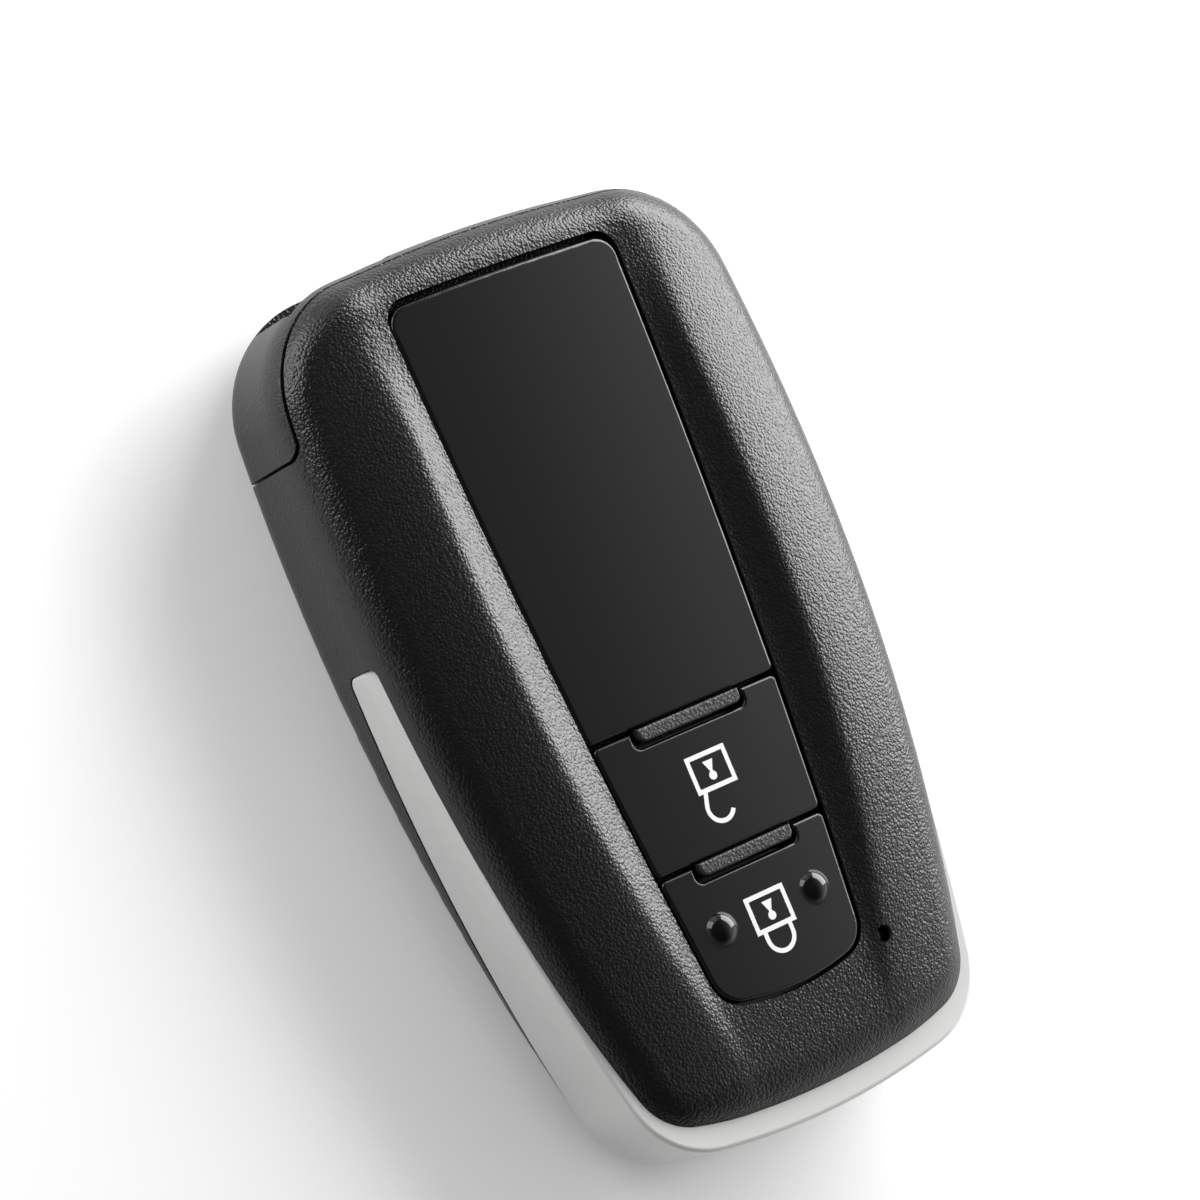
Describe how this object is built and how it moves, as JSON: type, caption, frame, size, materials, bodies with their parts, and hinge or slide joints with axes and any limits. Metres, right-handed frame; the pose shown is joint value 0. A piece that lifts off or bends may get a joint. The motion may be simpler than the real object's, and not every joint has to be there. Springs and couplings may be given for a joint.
{
  "type": "car key fob shell",
  "caption": "Smart key fob shell with padlock keys in a grained cover, a white end trim and a slide-out emergency key with a key ring slot.",
  "frame": {"origin": "middle of the flat back, under the middle of the box", "axes": "+Z out of the button face, +Y towards the emergency key's head, +X to the right when the buttons are seen with the head end up"},
  "size_m": [0.0449, 0.075, 0.0138],
  "materials": {
    "grained_cover": "satin, fine leather grain",
    "white_trim": "satin",
    "gloss_panel": "gloss",
    "key_plastic": "smooth satin",
    "white_ink": "satin",
    "silicone": "matte",
    "seal_rubber": "matte",
    "switch_body": "matte",
    "board_laminate": "satin",
    "chip_epoxy": "matte",
    "coil_ferrite": "satin",
    "led_lens": "gloss",
    "pipe_clear": "gloss",
    "cell_steel": "brushed",
    "spring_steel": "bright",
    "blade_steel": "satin",
    "inner_plastic": "matte"
  },
  "bodies": {
    "shell": {"front_cover": "grained_cover", "rear_cover": "grained_cover", "side_trim": "white_trim", "front_panel": "gloss_panel", "keypad_membrane": "silicone", "unlock_dome": "silicone", "lock_dome": "silicone", "circuit_board": "board_laminate", "board_chips": "chip_epoxy", "antenna_coil": "coil_ferrite", "indicator_led": "led_lens", "light_pipe": "pipe_clear", "unlock_switch": "switch_body", "lock_switch": "switch_body", "coin_cell": "cell_steel", "positive_contact": "spring_steel", "negative_contact": "spring_steel", "inner_frame": "inner_plastic", "seal_gasket": "seal_rubber", "release_spring": "spring_steel"},
    "unlock_key": {"unlock_button": "key_plastic", "unlock_symbol": "white_ink", "unlock_plunger": "silicone", "unlock_switch_stem": "inner_plastic"},
    "lock_key": {"lock_button": "key_plastic", "lock_symbol": "white_ink", "lock_plunger": "silicone", "lock_switch_stem": "inner_plastic"},
    "emergency_key": {"key_head": "grained_cover", "key_blade": "blade_steel"},
    "release": {"release_slider": "inner_plastic"}
  },
  "joints": [
    {"name": "unlock_press", "type": "slide", "parent": "shell", "child": "unlock_key", "axis": [0, 0, -1], "range_m": [0, 0.0003], "stiffness_N_per_m": 5000, "springref_m": -0.0002, "deforming": ["unlock_dome"]},
    {"name": "lock_press", "type": "slide", "parent": "shell", "child": "lock_key", "axis": [0, 0, -1], "range_m": [0, 0.0003], "stiffness_N_per_m": 5000, "springref_m": -0.0002, "deforming": ["lock_dome"]},
    {"name": "key_pull", "type": "slide", "parent": "shell", "child": "emergency_key", "axis": [0, 1, 0], "range_m": [0, 0.052]},
    {"name": "release_slide", "type": "slide", "parent": "shell", "child": "release", "axis": [-1, 0, 0], "range_m": [0, 0.002], "stiffness_N_per_m": 400, "springref_m": -0.001, "deforming": ["release_spring"]}
  ]
}
